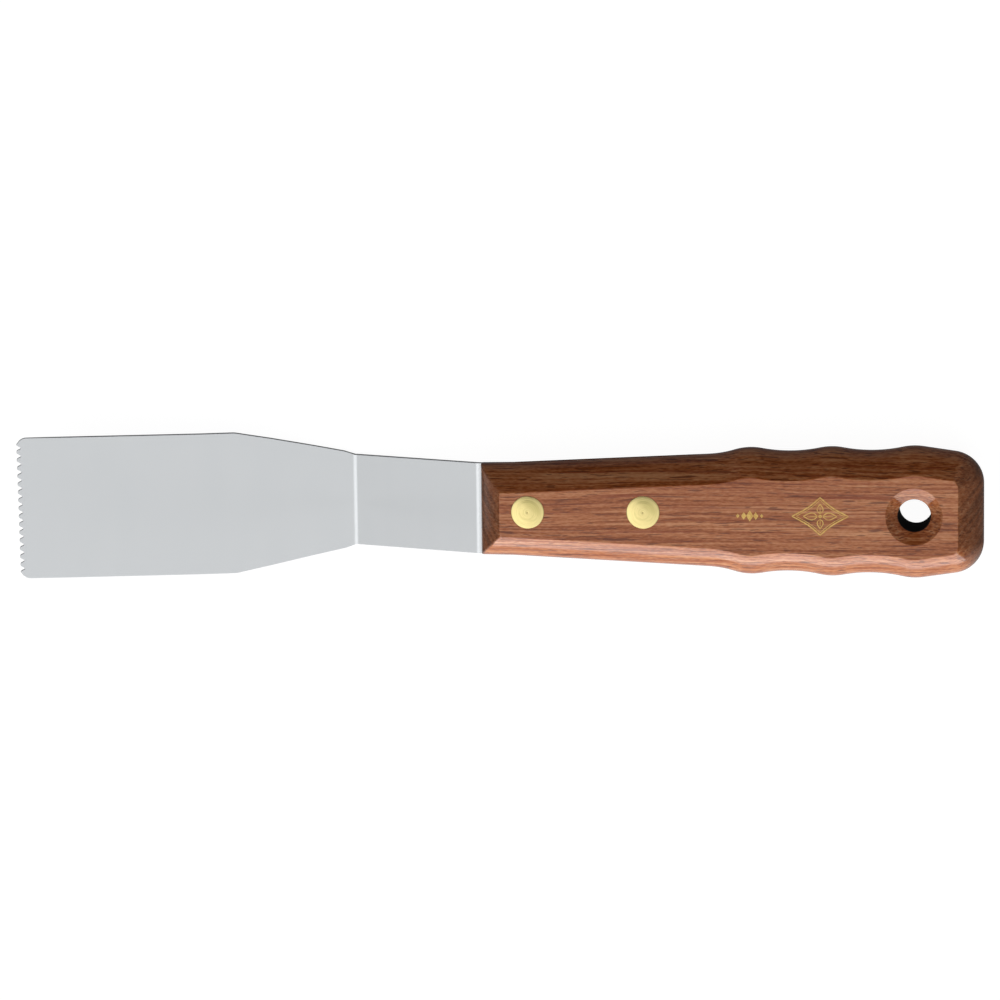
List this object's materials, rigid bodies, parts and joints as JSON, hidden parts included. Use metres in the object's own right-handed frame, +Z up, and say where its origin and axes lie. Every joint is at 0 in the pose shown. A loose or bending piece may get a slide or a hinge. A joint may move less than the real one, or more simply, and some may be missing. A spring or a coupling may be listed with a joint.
{
  "type": "ink knife",
  "caption": "Cranked steel ink knife with a notched end edge, riveted into a bevelled hardwood handle with finger swells and a countersunk hanging hole.",
  "frame": {"origin": "centre of the whole knife's footprint, on the surface it lies on", "axes": "+X from the notched edge towards the handle's tail, +Z up, with the decorated face of the handle up; the knife lies on its heel bend and the tail of the handle"},
  "size_m": [0.236, 0.035, 0.0184],
  "materials": {
    "steel": "satin ground spring steel",
    "wood": "glossy lacquered reddish hardwood",
    "brass": "turned and polished brass"
  },
  "bodies": {
    "root": {"blade": "steel", "handle": "wood", "rivet_front_stud": "brass", "rivet_front_tube": "brass", "rivet_rear_stud": "brass", "rivet_rear_tube": "brass"}
  },
  "joints": []
}
